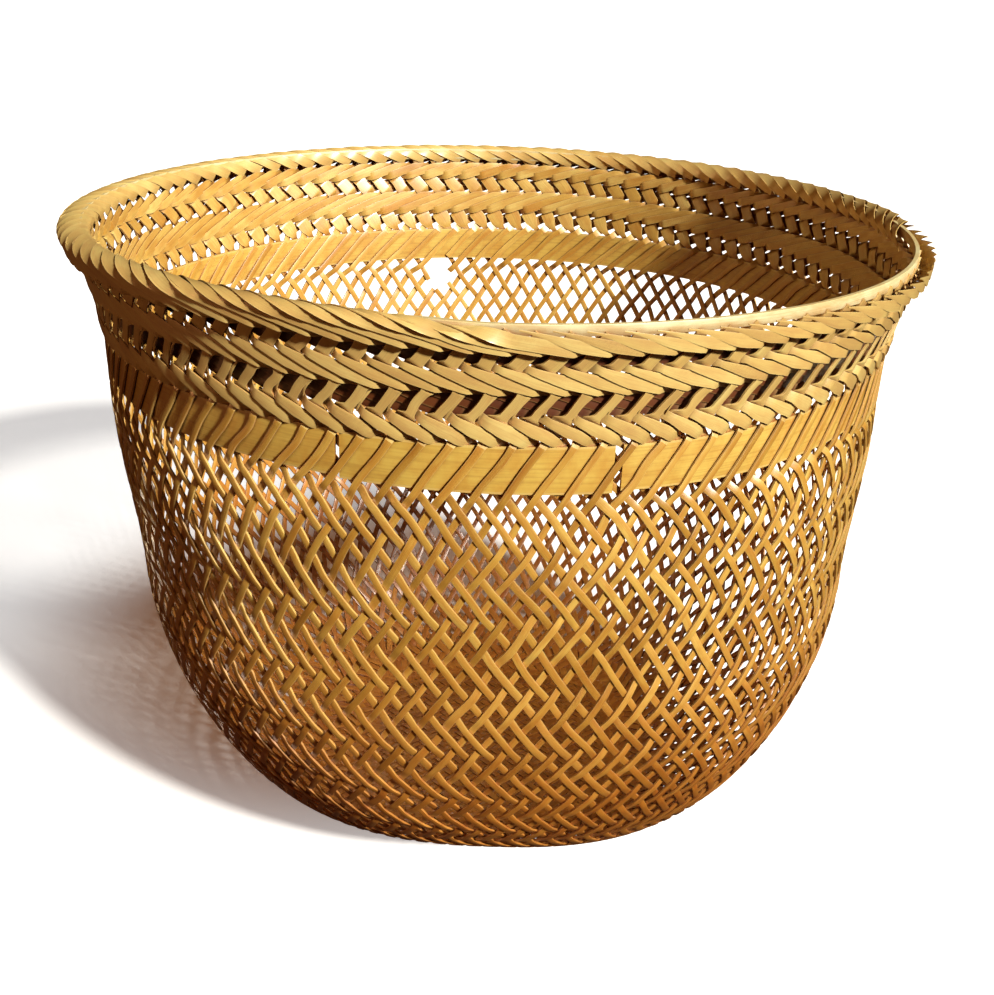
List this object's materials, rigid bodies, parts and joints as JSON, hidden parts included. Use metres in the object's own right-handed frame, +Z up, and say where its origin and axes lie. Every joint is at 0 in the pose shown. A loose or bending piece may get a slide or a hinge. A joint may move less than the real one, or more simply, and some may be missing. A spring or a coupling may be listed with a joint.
{
  "type": "rattan basket",
  "caption": "Round open-top plaited rattan basket with a square base, a bowl-shaped open-plait wall, a flat splint band and a braided border under a rim hoop; holds waste, plants or goods.",
  "frame": {"origin": "under the middle of the square base, on the surface the basket stands on", "axes": "+Z up through the open mouth, -Y towards the side that shows in the picture, +X to the right seen from there"},
  "size_m": [0.32, 0.32, 0.25],
  "materials": {
    "wall_strip": "lacquered",
    "base_strip": "lacquered",
    "border_strip": "lacquered",
    "band_splint": "lacquered",
    "rim_splint": "satin"
  },
  "bodies": {
    "root": {"base_mat": "base_strip", "woven_bowl_foot": "wall_strip", "woven_bowl": "wall_strip", "woven_side": "wall_strip", "woven_border": "wall_strip", "band_long_length": "band_splint", "band_short_length": "band_splint", "lower_row": "border_strip", "middle_row": "border_strip", "upper_row": "border_strip", "rim_hoop": "rim_splint", "rim_wraps": "border_strip"}
  },
  "joints": []
}
